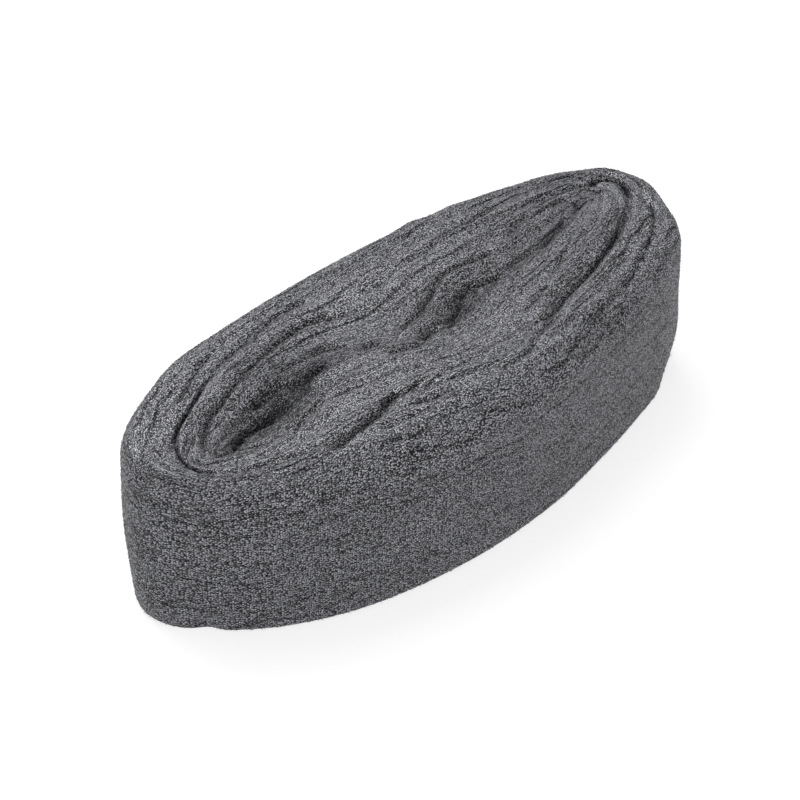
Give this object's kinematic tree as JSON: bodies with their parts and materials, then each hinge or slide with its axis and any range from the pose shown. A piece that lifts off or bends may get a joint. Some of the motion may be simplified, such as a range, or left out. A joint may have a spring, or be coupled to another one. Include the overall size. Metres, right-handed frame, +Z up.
{
  "type": "steel wool pad",
  "caption": "Soft pad of steel wool: one long band of fine wool wound flat on itself into an oval roll, with its turns and creases showing on the open top.",
  "frame": {"origin": "on the floor under the middle of the roll's own box", "axes": "+X along the roll's long way, +Y across it towards the side away from the picture's view, +Z up along the width of the wool band"},
  "size_m": [0.271, 0.117, 0.0765],
  "materials": {
    "steel_wool": "bare fine steel wool, dull grey with short glints along the turns"
  },
  "bodies": {
    "root": {"steel_wool_roll": "steel_wool"}
  },
  "joints": []
}
